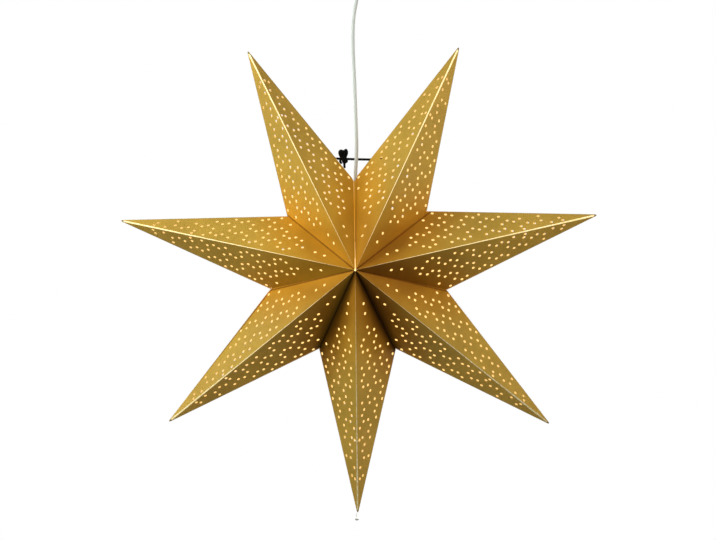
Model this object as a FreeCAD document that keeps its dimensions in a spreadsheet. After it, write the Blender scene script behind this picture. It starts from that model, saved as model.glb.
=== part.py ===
import FreeCAD, Part
import math
import os
import Sketcher
from FreeCAD import Placement, Rotation, Vector

# Seven-pointed hanging paper star lantern with its lampholder, lamp, cord and ceiling cup.
# Origin on the ceiling, at the middle of the cup's rim. +Z is up and the star's front faces -Y.

doc = FreeCAD.newDocument("paper_star_lantern")
sheet = doc.addObject("Spreadsheet::Sheet", "Sizes")

SIZES = [
    # star
    ("point_count", 7, "points round the star"),
    ("tip_radius", 300, "star centre to the tip of a point"),
    ("valley_radius", 109, "star centre to the valley between two points"),
    ("half_depth", 84, "silhouette plane to the front or back apex"),
    ("card", 0.4, "card thickness"),
    ("star_drop", 372, "ceiling to the star centre"),
    ("seam_gap", 1.0, "gap between the two points of the open top seam"),
    # glue flaps inside, along the valley folds
    ("flap_width", 9, "width of a glue flap"),
    ("flap_start", 14, "star centre to the near end of a flap"),
    ("trim_margin", 10, "how far a trimming cut runs past what it cuts"),
    # punching, one pattern on every facet
    ("punch_side", 2.0, "side of a punched hole"),
    ("punch_stroke", 1.2, "how deep the punch goes in past the card's face"),
    ("punch_first", 98.7, "front apex to a hole of the first row, along the ridge"),
    ("punch_ridge", 10, "ridge fold to the first row"),
    ("punch_pitch", 44.2, "hole to hole along a row"),
    ("punch_row", 10.6, "row to row, each shifted by half a pitch"),
    ("valley_margin", 8, "least distance from a hole to the valley fold"),
    ("edge_margin", 7.5, "least distance from a hole to the silhouette fold"),
    # tie string over the top valley
    ("tie_drop", 136, "star centre up to the tie string"),
    ("tie_behind", 3.6, "silhouette plane back to the tie string"),
    ("tie_thickness", 2.0, "diameter of the string"),
    ("tie_hole", 2.8, "hole in the card for the string"),
    ("stopper_knot", 5.2, "diameter of a stopper knot"),
    ("knot_seat", 0.1, "stopper knot to the card that it rests on"),
    ("bow_side", 13.5, "cord axis to the bow's knot"),
    ("bow_knot", 3.8, "diameter of the bow's knot"),
    ("bow_front", 0.7, "string back to the bow in front of it"),
    ("bow_thickness", 1.8, "diameter of the string in the bow"),
    ("upper_loop", 10.4, "height of the bow's upper loop"),
    ("lower_loop", 7.2, "height of the bow's lower loop"),
    ("bow_tail", 2, "length of the bow's tail below the lower loop"),
    # cord and its entry
    ("cord_thickness", 4.4, "diameter of the cord"),
    ("cord_hole", 5.6, "passage for the cord through the top valley"),
    ("cord_clearance", 0.1, "cord to a bore, each side"),
    # lampholder
    ("seat_clearance", 0.3, "cord grip to the flaps that rest on it"),
    ("grip_top", 8, "diameter of the grip's upper end"),
    ("grip_body", 13, "diameter of the grip"),
    ("grip_length", 8.5, "length of the grip above the cap"),
    ("spigot", 9.4, "diameter of the grip's threaded end"),
    ("spigot_length", 7, "length of the grip's threaded end"),
    ("fit", 0.1, "clearance of parts that screw or slide together, each side"),
    ("holder_width", 27, "diameter of the lampholder"),
    ("holder_wall", 1.6, "wall of the lampholder"),
    ("cap_length", 14, "length of the lampholder cap"),
    ("cap_crown", 16, "diameter of the cap's upper face"),
    ("cap_slope", 5, "height of the cap's sloped shoulder"),
    ("neck_length", 4, "length of the sleeve's threaded neck inside the cap"),
    ("sleeve_length", 28, "length of the lampholder sleeve"),
    ("sleeve_skirt", 29, "diameter of the sleeve's lower rim"),
    ("insert_width", 20, "diameter of the contact insert"),
    ("insert_length", 7, "thickness of the contact insert"),
    ("ledge_drop", 8, "sleeve shoulder down to the ledge that carries the insert"),
    ("ledge", 2, "thickness of the ledge"),
    ("wire_hole", 2.6, "wire hole in the insert"),
    ("wire_spacing", 9, "distance between the wire holes"),
    ("shell_outer", 15.4, "diameter of the brass screw shell"),
    ("shell_wall", 0.5, "wall of the screw shell"),
    ("shell_length", 18, "length of the screw shell"),
    ("contact_width", 4, "width of the centre contact"),
    ("contact_rise", 2.2, "height of the centre contact"),
    # lamp
    ("bulb_width", 45, "diameter of the lamp's ball"),
    ("bulb_length", 76, "length of the lamp with its base"),
    ("bulb_base", 13.8, "diameter of the lamp's screw base"),
    ("bulb_base_length", 22, "length of the screw base with its contact"),
    ("bulb_neck", 22, "diameter of the lamp's collar"),
    ("bulb_tip", 5, "diameter of the lamp's end contact"),
    ("bulb_tip_length", 1.8, "height of the end contact's slope"),
    ("bulb_cone", 5, "height of the collar's slope"),
    # bead on the lowest tip
    ("bead_width", 5.2, "diameter of the bead"),
    ("bead_neck", 3.2, "diameter of the bead's neck"),
    ("bead_length", 8.7, "length of the bead with its neck"),
    ("bead_cover", 2.7, "length of the card tip inside the neck"),
    ("bead_bore", 2.2, "diameter of the neck's mouth"),
    ("bead_bore_end", 0.4, "tip to the end of the neck's bore"),
    # ceiling fitting
    ("cup_width", 78, "diameter of the cup's rim"),
    ("cup_base", 60, "diameter of the cup's lower face"),
    ("cup_height", 22, "height of the cup"),
    ("cup_straight", 12, "height of the cup's straight side"),
    ("cup_wall", 1.8, "wall of the cup"),
    ("nut_width", 14, "diameter of the cup's cord grip"),
    ("nut_length", 8, "length of the cup's cord grip below the cup"),
    ("stem_width", 10, "diameter of the grip's threaded stem"),
    ("stem_length", 6, "length of the stem inside the cup"),
    ("lock_nut", 14, "width of the lock nut over its corners"),
    ("lock_nut_length", 3, "thickness of the lock nut"),
    ("terminal_length", 24, "length of the terminal block"),
    ("terminal_width", 17, "width of the terminal block"),
    ("terminal_height", 9, "height of the terminal block"),
    ("terminal_bore", 3.4, "wire bore of the terminal block"),
    ("terminal_pitch", 10, "distance between the wire bores"),
    ("bridge_width", 16, "width of the fixing bridge"),
    ("bridge_thickness", 1.5, "thickness of the fixing bridge"),
    ("bridge_tab", 9, "height of the bridge's bent ends"),
    ("bridge_gap", 0.2, "bent end to the cup's side"),
    ("slot_width", 4.5, "width of a slot for a ceiling screw"),
    ("slot_length", 9, "length of a slot for a ceiling screw"),
    ("slot_spacing", 50, "distance between the slots' middles"),
    ("screw_width", 3, "diameter of a cup screw"),
    ("screw_length", 7, "length of a cup screw's shank"),
    ("screw_head", 5.6, "diameter of a cup screw's head"),
    ("screw_head_length", 1.8, "height of a cup screw's head"),
    ("screw_drop", 5, "ceiling to the axis of a cup screw"),
]
for row, (alias, number, note) in enumerate(SIZES, 1):
    sheet.set(f"A{row}", note)
    sheet.set(f"B{row}", str(number))
    sheet.setAlias(f"B{row}", alias)
doc.recompute()


def value(expression):
    """Number that an expression of the sheet's aliases gives."""
    return float(sheet.evalExpression(expression))


def bound(expression):
    """The same expression for another object, with the sheet's name before each alias."""
    words = {alias for alias, _, _ in SIZES}
    out, word = "", ""
    for char in expression + " ":
        if char.isalnum() or char == "_":
            word += char
            continue
        out += f"Sizes.{word}" if word in words else word
        out += char
        word = ""
    return out.strip()


def new_body(name):
    body = doc.addObject("PartDesign::Body", name)
    body.Label = name
    return body


def origin_plane(body, role):
    return next(item for item in body.Origin.OriginFeatures if item.Role == role)


def new_sketch(body, name, role="XZ_Plane"):
    sketch = body.newObject("Sketcher::SketchObject", name)
    sketch.AttachmentSupport = [(origin_plane(body, role), "")]
    sketch.MapMode = "FlatFace"
    return sketch


def constrain(sketch, held, links=()):
    """Bind held distances, given as (kind, geometry, point, expression), to the sheet, all at once."""
    first = sketch.ConstraintCount
    rules = [Sketcher.Constraint(kind, -1, 1, item, point, value(text)) for kind, item, point, text in held]
    sketch.addConstraint(rules + list(links))
    for index, (_, _, _, text) in enumerate(held, first):
        sketch.setExpression(f"Constraints[{index}]", bound(text))


def outline(sketch, *loops):
    """Closed outlines, each through corners given as pairs of expressions."""
    held, links, lines = [], [], []
    for corners in loops:
        first = sketch.GeometryCount + len(lines)
        count = len(corners)
        spots = [Vector(value(x), value(y), 0) for x, y in corners]
        for i, (x, y) in enumerate(corners):
            lines.append(Part.LineSegment(spots[i], spots[(i + 1) % count]))
            links.append(Sketcher.Constraint("Coincident", first + i, 2, first + (i + 1) % count, 1))
            held.append(("DistanceX", first + i, 1, x))
            held.append(("DistanceY", first + i, 1, y))
    sketch.addGeometry(lines)
    constrain(sketch, held, links)


def hexagon(x, y, side):
    """Corners of a regular six-sided outline about a point; its sides are as long as its radius."""
    turns = [f"{60 * corner}deg" for corner in range(6)]
    return [(f"{x} + {side} * cos({turn})", f"{y} + {side} * sin({turn})") for turn in turns]


def circle(sketch, x, y, diameter):
    middle, upward = Vector(value(x), value(y), 0), Vector(0, 0, 1)
    index = sketch.addGeometry(Part.Circle(middle, upward, value(diameter) / 2))
    constrain(sketch, [("DistanceX", index, 3, x), ("DistanceY", index, 3, y)])
    size = sketch.addConstraint(Sketcher.Constraint("Diameter", index, value(diameter)))
    sketch.setExpression(f"Constraints[{size}]", bound(diameter))


def turned(name, corners, drop="0"):
    """Body of revolution about Z from a profile of (radius, height) expressions, set below the ceiling."""
    body = new_body(name)
    profile = new_sketch(body, f"{name}_profile")
    outline(profile, corners)
    turn = body.newObject("PartDesign::Revolution", f"{name}_turn")
    turn.Profile = profile
    turn.ReferenceAxis = (profile, ["V_Axis"])
    body.setExpression(".Placement.Base.z", f"-({bound(drop)})")
    return body


# star: each point is one folded card, hollow, open towards the centre
HALF = "180deg / point_count"
RHOMBUS = f"valley_radius * sin({HALF}) * tip_radius / (tip_radius - valley_radius * cos({HALF}))"
SLACK = f"card * tip_radius * sqrt(1 / tip_radius^2 + 1 / ({RHOMBUS})^2 + 1 / half_depth^2)"

SLOPE = "(half_depth / valley_radius)"
LEAN = f"(cos({HALF}) / ({RHOMBUS}) - sin({HALF}) / tip_radius)"


def valley(setback):
    """Star centre to the card's edge in the valley plane, which a setback moves outwards."""
    return f"(valley_radius * (1 + ({setback}) * {LEAN}))"


def window(setback):
    """Star centre to the inner corner of the flaps."""
    return f"({valley(setback)} - flap_width / sin(atan({SLOPE})))"


def pyramid(body, name, kind, shift):
    """Loft from a rhombus across the star's centre to the tip; shift moves the tip inwards."""
    scale = f"(tip_radius - ({shift})) / tip_radius"
    across, high = f"({RHOMBUS}) * {scale}", f"half_depth * {scale}"
    base = new_sketch(body, f"{name}_base", "YZ_Plane")
    outline(base, [(across, "0"), ("0", high), (f"-({across})", "0"), ("0", f"-({high})")])
    tip = new_sketch(body, f"{name}_tip", "XY_Plane")
    tip.addGeometry(Part.Point(Vector(value(f"tip_radius - ({shift})"), 0, 0)))
    constrain(tip, [("DistanceX", 0, 1, f"tip_radius - ({shift})"), ("DistanceY", 0, 1, "0")])
    loft = body.newObject(kind, name)
    loft.Profile = (base, [""])
    loft.Sections = [(tip, ["Vertex1"])]
    loft.Ruled = True
    return loft


def seam_plane(sketch, side, setback="0"):
    """Turns a sketch on the XZ plane into the valley plane of one side, set back into the point."""
    turn = f"-{HALF}" if side == "right" else HALF
    inwards = f"-({setback})" if side == "right" else f"({setback})"
    sketch.AttachmentOffset = Placement(Vector(), Rotation(Vector(0, 1, 0), value(turn)))
    sketch.setExpression(".AttachmentOffset.Rotation.Angle", bound(turn))
    sketch.setExpression(".AttachmentOffset.Base.x", bound(f"{inwards} * sin({turn})"))
    sketch.setExpression(".AttachmentOffset.Base.z", bound(f"{inwards} * cos({turn})"))


def flap(body, side, setback):
    """Glue flap folded in along the valley, one card thick, in the plane between two points."""
    name = f"flap_{side}"
    sketch = new_sketch(body, name, "XZ_Plane")
    seam_plane(sketch, side, setback)
    rim, inner = valley(setback), window(setback)
    far, near = f"{SLOPE} * ({rim} - flap_start)", "flap_start + flap_width"
    outline(sketch, [
        ("flap_start", far),
        (rim, "0"),
        ("flap_start", f"-{far}"),
        (near, f"-{SLOPE} * ({inner} - {near})"),
        (inner, "0"),
        (near, f"{SLOPE} * ({inner} - {near})"),
    ])
    pad = body.newObject("PartDesign::Pad", f"{name}_card")
    pad.Profile = sketch
    pad.setExpression("Length", bound("card"))
    pad.Reversed = side == "right"
    return pad


def punching(body):
    """Holes of one facet, pocketed and mirrored to the point's other three facets."""
    sketch = new_sketch(body, "punching", "XY_Plane")
    ridge_x, ridge_z = value("tip_radius"), -value("half_depth")
    apex = Vector(0, 0, value("half_depth"))
    along = Vector(ridge_x, 0, ridge_z).normalize()
    valley = Vector(value(f"valley_radius * cos({HALF})"), value(f"valley_radius * sin({HALF})"), 0)
    across = (valley - apex) - along * (valley - apex).dot(along)
    across.normalize()
    sketch.AttachmentOffset = Placement(apex, Rotation(along, across, along.cross(across), "XYZ"))
    valley_flat = Vector((valley - apex).dot(along), (valley - apex).dot(across), 0)
    tip_flat = Vector(value("sqrt(tip_radius^2 + half_depth^2)"), 0, 0)

    def distance(start, end, spot):
        edge = (end - start).normalize()
        return (spot - start).cross(edge).z

    half_pitch = value("punch_pitch") / 2
    rows = int(valley_flat.y / value("punch_row")) + 1
    columns = int(tip_flat.x / half_pitch) + 1
    steps_back = int(value("punch_first") / half_pitch)
    rings = []
    for row in range(rows):
        for step in range(-steps_back, columns):
            if (step + row) % 2:
                continue
            x = f"punch_first + {step} * punch_pitch / 2"
            y = f"punch_ridge + {row} * punch_row"
            spot = Vector(value(x), value(y), 0)
            clear_valley = distance(Vector(), valley_flat, spot)
            clear_edge = distance(valley_flat, tip_flat, spot)
            if clear_valley < value("valley_margin") or clear_edge < value("edge_margin"):
                continue
            rings.append(hexagon(x, y, "punch_side"))
    outline(sketch, *rings)
    cut = body.newObject("PartDesign::Pocket", "punching_cut")
    cut.Profile = sketch
    cut.Type = "Length"
    cut.setExpression("Length", bound("punch_stroke"))
    return cut


def cut_both_ways(body, sketch, length):
    """Pocket through the body, to both sides of the sketch's plane."""
    cut = body.newObject("PartDesign::Pocket", f"{sketch.Name}_cut")
    cut.Profile = sketch
    cut.Midplane = True
    cut.setExpression("Length", bound(length))
    return cut


def folded_card():
    """One punched card folded to a hollow point, before it is trimmed and gets its flaps."""
    body = new_body("folded_card")
    pyramid(body, "card_outside", "PartDesign::AdditiveLoft", "0")
    pyramid(body, "card_inside", "PartDesign::SubtractiveLoft", SLACK)
    cut = punching(body)
    doc.recompute()
    mirrors = []
    for role in ("XZ_Plane", "XY_Plane"):
        mirror = doc.addObject("PartDesign::Mirrored", f"punching_{role}")
        mirror.MirrorPlane = (origin_plane(body, role), [""])
        mirrors.append(mirror)
    pattern = body.newObject("PartDesign::MultiTransform", "punching_all")
    pattern.Originals = [cut]
    pattern.Transformations = mirrors
    body.Tip = pattern
    doc.recompute()
    return body


def trim(body, side, setback):
    """Cuts the card off along the valley plane of one side."""
    sketch = new_sketch(body, f"trim_{side}", "XY_Plane")
    sign = "-" if side == "right" else ""
    reach, outside = "(valley_radius + trim_margin)", f"{RHOMBUS} + 2 * trim_margin"
    shift_x, shift_y = f"({setback}) * sin({HALF})", f"({setback}) * cos({HALF})"
    outline(sketch, [
        (f"{shift_x} - trim_margin * cos({HALF})", f"{sign}(-trim_margin * sin({HALF}) - {shift_y})"),
        (f"{shift_x} + {reach} * cos({HALF})", f"{sign}({reach} * sin({HALF}) - {shift_y})"),
        ("0", f"{sign}({outside})"),
        ("-trim_margin", f"{sign}({outside})"),
    ])
    cut_both_ways(body, sketch, "2 * half_depth + trim_margin")


def star_point(number, card_body):
    """A point of the star, turned to its place; the first and last ones flank the open top seam."""
    last = int(value("point_count"))
    seam_side = {1: "left", last: "right"}.get(number)
    body = new_body(f"point_{number}")
    body.BaseFeature = card_body
    for side in ("left", "right"):
        setback = "seam_gap / 2" if side == seam_side else "0"
        trim(body, side, setback)
        flap(body, side, setback)
    if seam_side:
        seam_holes(body, seam_side)
    angle = math.radians(360 / last * (number - 0.5))
    outward, front = Vector(math.sin(angle), 0, math.cos(angle)), Vector(0, -1, 0)
    turn = Rotation(outward, front.cross(outward), front, "XYZ")
    body.Placement = Placement(Vector(0, 0, -value("star_drop")), turn)
    body.setExpression(".Placement.Base.z", bound("-star_drop"))
    return body


def seam_holes(body, side):
    """Hole for the tie string, and the notch through which the cord enters at the top valley."""
    hole = new_sketch(body, "tie_hole_ring", "XZ_Plane")
    seam_plane(hole, side)
    circle(hole, "tie_drop", "-tie_behind", "tie_hole")
    cut_both_ways(body, hole, f"2 * ({TIE_WALL} + trim_margin)")

    turn = f"-{HALF}" if side == "right" else HALF
    notch = new_sketch(body, "cord_notch", "YZ_Plane")
    notch.AttachmentOffset = Placement(Vector(), Rotation(Vector(0, 1, 0), value(turn)))
    notch.setExpression(".AttachmentOffset.Rotation.Angle", bound(turn))
    notch.setExpression(".AttachmentOffset.Base.x", bound(f"valley_radius * sin({turn})"))
    notch.setExpression(".AttachmentOffset.Base.z", bound(f"valley_radius * cos({turn})"))
    circle(notch, "0", "0", "cord_hole")
    cut_both_ways(body, notch, "2 * flap_width + 2 * trim_margin")


# tie string: a straight string between two stopper knots, with a bow beside the cord
RISE = f"tie_drop * (cos({HALF}) / tip_radius + sin({HALF}) / ({RHOMBUS}))"
CREASE = f"({RISE} + tie_behind / half_depth - 1)"
TIE_WALL = f"({CREASE} / {LEAN})"
KNOT_INSET = f"(stopper_knot / 2 + card + knot_seat) * ({SLACK}) / (card * tip_radius * {LEAN})"
TIE_REACH = f"({TIE_WALL} + {KNOT_INSET})"


def place(item, x="0", y="0", z="0", rotation=Rotation()):
    item.Placement = Placement(Vector(value(x), value(y), value(z)), rotation)
    for axis, text in (("x", x), ("y", y), ("z", z)):
        item.setExpression(f".Placement.Base.{axis}", bound(text))
    return item


def primitive(kind, name, **lengths):
    item = doc.addObject(f"Part::{kind}", name)
    for key, text in lengths.items():
        item.setExpression(key, bound(text))
    return item


def fused(name, pieces):
    """One solid of all pieces, joined one after another."""
    whole = pieces[0]
    for number, piece in enumerate(pieces[1:], 1):
        join = doc.addObject("Part::Fuse", f"{name}_{number}")
        join.Base, join.Tool = whole, piece
        whole = join
    whole.Label = name
    return whole


def tie_string():
    level, back, knot_x = "tie_drop - star_drop", "tie_behind", "-bow_side"
    along = Rotation(Vector(0, 1, 0), 90)
    string = primitive("Cylinder", "string_run", Radius="tie_thickness / 2", Height=f"2 * {TIE_REACH}")
    place(string, f"-{TIE_REACH}", back, level, along)
    pieces = [string]
    for side, sign in (("left", "-"), ("right", "")):
        knot = primitive("Sphere", f"stopper_{side}", Radius="stopper_knot / 2")
        pieces.append(place(knot, f"{sign}{TIE_REACH}", back, level))
    knot = primitive("Sphere", "bow_middle", Radius="bow_knot / 2")
    pieces.append(place(knot, knot_x, back, level))
    facing, front = Rotation(Vector(1, 0, 0), 90), "tie_behind - bow_front"
    for label, height, sign in (("upper", "upper_loop", "+"), ("lower", "lower_loop", "-")):
        outside, inside = f"{height} / 2", f"{height} / 2 - bow_thickness"
        disc = primitive("Cylinder", f"{label}_bow", Radius=outside, Height="bow_thickness")
        hole = primitive("Cylinder", f"{label}_bow_hole", Radius=inside, Height="bow_thickness")
        for item in (disc, hole):
            place(item, knot_x, f"{front} + bow_thickness / 2", f"{level} {sign} {height} / 2", facing)
        loop = doc.addObject("Part::Cut", f"{label}_loop")
        loop.Base, loop.Tool = disc, hole
        pieces.append(loop)
    hang = "(lower_loop + bow_tail)"
    tail = primitive("Cylinder", "tail_run", Radius="bow_thickness / 2", Height=hang)
    pieces.append(place(tail, knot_x, front, f"{level} - {hang}"))
    return fused("tie_string", pieces)


# cord, from the contact insert up through the grip and the top valley to the terminal block
def lamp_cord():
    centre = -value("star_drop")
    low = Vector(0, 0, centre + value(INSERT_TOP))
    high = Vector(0, 0, -value("bridge_thickness") - value("terminal_height"))
    run_share = 0.45
    sway = [(0, 97), (1.7, 150), (-0.4, 212), (-2.8, 268), (-1.6, 309), (0, 336)]
    points = [low] + [Vector(x, 0, centre + z) for x, z in sway] + [high]
    edges, start = [], points[0]
    for before, corner, after in zip(points, points[1:], points[2:]):
        come, leave = (corner - before).normalize(), (after - corner).normalize()
        half_turn = come.getAngle(leave) / 2
        set_back = run_share * min((corner - before).Length, (after - corner).Length)
        radius = set_back / math.tan(half_turn)
        print(f"cord bend at z {corner.z:.0f}: radius {radius:.0f} mm")
        arc_start, arc_end = corner - come * set_back, corner + leave * set_back
        inward = (leave - come).normalize()
        middle = corner + inward * (radius / math.cos(half_turn) - radius)
        edges.append(Part.LineSegment(start, arc_start).toShape())
        edges.append(Part.Arc(arc_start, middle, arc_end).toShape())
        start = arc_end
    edges.append(Part.LineSegment(start, high).toShape())
    route = Part.Wire(edges)
    radius = value("cord_thickness") / 2
    ring = Part.Wire([Part.Circle(low, points[1] - low, radius).toShape()])
    tube = route.makePipeShell([ring], True, True)
    expected = math.pi * radius**2 * route.Length
    print(f"cord {route.Length:.1f} mm, volume {tube.Volume:.0f} against {expected:.0f} mm3")
    item = doc.addObject("Part::Feature", "lamp_cord")
    item.Label = "lamp_cord"
    item.Shape = tube
    return item


# lampholder, hung on the cord; its grip is the seat on which the flaps of the top valley rest
GRIP_TOP = f"({window('seam_gap / 2')} - seat_clearance / sin(atan({SLOPE})) - grip_top / 2 / {SLOPE})"
CAP_TOP = f"({GRIP_TOP} - grip_length)"
SHOULDER = f"({CAP_TOP} - cap_length)"
LEDGE_TOP = f"({SHOULDER} - ledge_drop + ledge)"
INSERT_TOP = f"({LEDGE_TOP} + insert_length)"
BORE = "(cord_thickness / 2 + cord_clearance)"
SPIGOT_HOLE = "(spigot / 2 + fit)"
INSIDE = "(holder_width / 2 - holder_wall)"
NECK = f"({INSIDE} - fit)"
INSERT_FIT = "(insert_width / 2 + fit)"


def cord_grip():
    seat = f"{GRIP_TOP} - (grip_body - grip_top) / 2 / {SLOPE}"
    end = f"{CAP_TOP} - spigot_length"
    return turned("cord_grip", [
        (BORE, GRIP_TOP), ("grip_top / 2", GRIP_TOP), ("grip_body / 2", seat), ("grip_body / 2", CAP_TOP),
        ("spigot / 2", CAP_TOP), ("spigot / 2", end), (BORE, end),
    ], "star_drop")


def lampholder_cap():
    slope_end, inner_top = f"{CAP_TOP} - cap_slope", f"{CAP_TOP} - holder_wall"
    return turned("lampholder_cap", [
        (SPIGOT_HOLE, CAP_TOP), ("cap_crown / 2", CAP_TOP), ("holder_width / 2", slope_end),
        ("holder_width / 2", SHOULDER), (INSIDE, SHOULDER), (INSIDE, f"{slope_end} - holder_wall / 2"),
        ("cap_crown / 2 - holder_wall / 2", inner_top), (SPIGOT_HOLE, inner_top),
    ], "star_drop")


def lampholder_sleeve():
    rim, neck_top = f"{SHOULDER} - sleeve_length", f"{SHOULDER} + neck_length"
    ledge_low = f"{LEDGE_TOP} - ledge"
    return turned("lampholder_sleeve", [
        (INSERT_FIT, neck_top), (NECK, neck_top), (NECK, SHOULDER), ("holder_width / 2", SHOULDER),
        ("sleeve_skirt / 2", rim), ("sleeve_skirt / 2 - holder_wall", rim), (INSIDE, ledge_low),
        ("shell_outer / 2 + fit", ledge_low), ("shell_outer / 2 + fit", LEDGE_TOP), (INSERT_FIT, LEDGE_TOP),
    ], "star_drop")


def contact_insert():
    body = turned("contact_insert", [
        ("0", INSERT_TOP), ("insert_width / 2", INSERT_TOP),
        ("insert_width / 2", LEDGE_TOP), ("0", LEDGE_TOP),
    ], "star_drop")
    holes = new_sketch(body, "wire_holes", "XY_Plane")
    holes.setExpression(".AttachmentOffset.Base.z", bound(INSERT_TOP))
    circle(holes, "wire_spacing / 2", "0", "wire_hole")
    circle(holes, "-wire_spacing / 2", "0", "wire_hole")
    cut_both_ways(body, holes, "insert_length")
    return body


def screw_shell():
    low = f"{LEDGE_TOP} - shell_length"
    inner = "shell_outer / 2 - shell_wall"
    return turned("screw_shell", [
        (inner, LEDGE_TOP), ("shell_outer / 2", LEDGE_TOP), ("shell_outer / 2", low), (inner, low),
    ], "star_drop")


def centre_contact():
    low = f"{LEDGE_TOP} - contact_rise"
    return turned("centre_contact", [
        ("0", LEDGE_TOP), ("contact_width / 2", LEDGE_TOP), ("contact_width / 2", low), ("0", low),
    ], "star_drop")


def bulb():
    """Ball lamp, standing on the centre contact with its screw base up."""
    top = f"({LEDGE_TOP} - contact_rise)"
    ball, base_end = f"({top} - bulb_length + bulb_width / 2)", f"({top} - bulb_base_length)"
    body = turned("bulb", [
        ("0", top), ("bulb_tip / 2", top), ("bulb_base / 2", f"{top} - bulb_tip_length"),
        ("bulb_base / 2", base_end), ("bulb_neck / 2", f"{base_end} - bulb_cone"), ("bulb_neck / 2", ball),
        ("0", ball),
    ], "star_drop")
    sphere = body.newObject("PartDesign::AdditiveSphere", "bulb_ball")
    sphere.setExpression("Radius", bound("bulb_width / 2"))
    sphere.AttachmentSupport = [(origin_plane(body, "XY_Plane"), "")]
    sphere.MapMode = "FlatFace"
    sphere.setExpression(".AttachmentOffset.Base.z", bound(ball))
    return body


def tip_bead():
    """Metal bead whose neck holds the lowest tip of the star."""
    top, ball = "(bead_cover - tip_radius)", "(bead_cover - tip_radius - bead_length + bead_width / 2)"
    body = turned("tip_bead", [
        ("bead_bore / 2", top), ("bead_neck / 2", top), ("bead_neck / 2", ball), ("0", ball),
        ("0", "-tip_radius - bead_bore_end"),
    ], "star_drop")
    sphere = body.newObject("PartDesign::AdditiveSphere", "bead_ball")
    sphere.setExpression("Radius", bound("bead_width / 2"))
    sphere.AttachmentSupport = [(origin_plane(body, "XY_Plane"), "")]
    sphere.MapMode = "FlatFace"
    sphere.setExpression(".AttachmentOffset.Base.z", bound(ball))
    return body


# ceiling fitting
CUP_INSIDE = "(cup_width / 2 - cup_wall)"
STEM_HOLE = "(stem_width / 2 + fit)"
CUP_FLOOR = "(cup_height - cup_wall)"


def screw_holes(body, diameter):
    """Holes for the two side screws, through the body along X."""
    holes = new_sketch(body, "screw_holes", "YZ_Plane")
    circle(holes, "0", "-screw_drop", diameter)
    cut_both_ways(body, holes, "cup_width + trim_margin")


def ceiling_cup():
    body = turned("ceiling_cup", [
        (CUP_INSIDE, "0"), ("cup_width / 2", "0"), ("cup_width / 2", "-cup_straight"),
        ("cup_base / 2", "-cup_height"), (STEM_HOLE, "-cup_height"), (STEM_HOLE, f"-{CUP_FLOOR}"),
        ("cup_base / 2 - cup_wall / 2", f"-{CUP_FLOOR}"), (CUP_INSIDE, "-cup_straight + cup_wall / 2"),
    ])
    screw_holes(body, "screw_width + 2 * fit")
    return body


def cup_grip():
    low, high = "-(cup_height + nut_length)", f"-({CUP_FLOOR} - stem_length)"
    return turned("cup_grip", [
        (BORE, high), ("stem_width / 2", high), ("stem_width / 2", "-cup_height"),
        ("nut_width / 2", "-cup_height"), ("nut_width / 2", f"{low} + nut_length / 2"),
        (f"{BORE} + cup_wall / 2", low), (BORE, low),
    ])


def grip_nut():
    """Six-sided lock nut on the grip's stem, inside the cup."""
    body = new_body("grip_nut")
    profile = new_sketch(body, "grip_nut_profile", "XY_Plane")
    profile.setExpression(".AttachmentOffset.Base.z", bound(f"-{CUP_FLOOR}"))
    outline(profile, hexagon("0", "0", "lock_nut / 2"))
    circle(profile, "0", "0", f"2 * {STEM_HOLE}")
    pad = body.newObject("PartDesign::Pad", "grip_nut_pad")
    pad.Profile = profile
    pad.setExpression("Length", bound("lock_nut_length"))
    return body


def terminal_block():
    body = new_body("terminal_block")
    profile = new_sketch(body, "terminal_profile", "XY_Plane")
    profile.setExpression(".AttachmentOffset.Base.z", bound("-bridge_thickness"))
    x, y = "terminal_length / 2", "terminal_width / 2"
    outline(profile, [(x, y), (f"-{x}", y), (f"-{x}", f"-{y}"), (x, f"-{y}")])
    pad = body.newObject("PartDesign::Pad", "terminal_pad")
    pad.Profile = profile
    pad.setExpression("Length", bound("terminal_height"))
    pad.Reversed = True
    bores = new_sketch(body, "terminal_bores", "XZ_Plane")
    level = "-bridge_thickness - terminal_height / 2"
    circle(bores, "terminal_pitch / 2", level, "terminal_bore")
    circle(bores, "-terminal_pitch / 2", level, "terminal_bore")
    cut_both_ways(body, bores, "2 * terminal_width")
    return body


def fixing_bridge():
    """Steel strip against the ceiling; its bent ends take the screws of the cup."""
    body = new_body("fixing_bridge")
    profile = new_sketch(body, "bridge_profile", "XZ_Plane")
    out = f"(sqrt({CUP_INSIDE}^2 - bridge_width^2 / 4) - bridge_gap)"
    into = f"({out} - bridge_thickness)"
    outline(profile, [
        (f"-{out}", "0"), (f"-{out}", "-bridge_tab"),
        (f"-{into}", "-bridge_tab"), (f"-{into}", "-bridge_thickness"),
        (into, "-bridge_thickness"), (into, "-bridge_tab"),
        (out, "-bridge_tab"), (out, "0"),
    ])
    pad = body.newObject("PartDesign::Pad", "bridge_pad")
    pad.Profile = profile
    pad.Midplane = True
    pad.setExpression("Length", bound("bridge_width"))
    slots = new_sketch(body, "bridge_slots", "XY_Plane")
    ends = new_sketch(body, "bridge_slot_ends", "XY_Plane")
    straight, rows = "(slot_length - slot_width) / 2", []
    for sign in ("", "-"):
        middle = f"{sign}slot_spacing / 2"
        rows.append([(f"{middle} {a} {straight}", f"{b}slot_width / 2")
                     for a, b in (("+", ""), ("-", ""), ("-", "-"), ("+", "-"))])
        for side in ("+", "-"):
            circle(ends, f"{middle} {side} {straight}", "0", "slot_width")
    outline(slots, *rows)
    cut_both_ways(body, slots, "2 * bridge_thickness + trim_margin")
    cut_both_ways(body, ends, "2 * bridge_thickness + trim_margin")
    screw_holes(body, "screw_width + 2 * fit")
    return body


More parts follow.
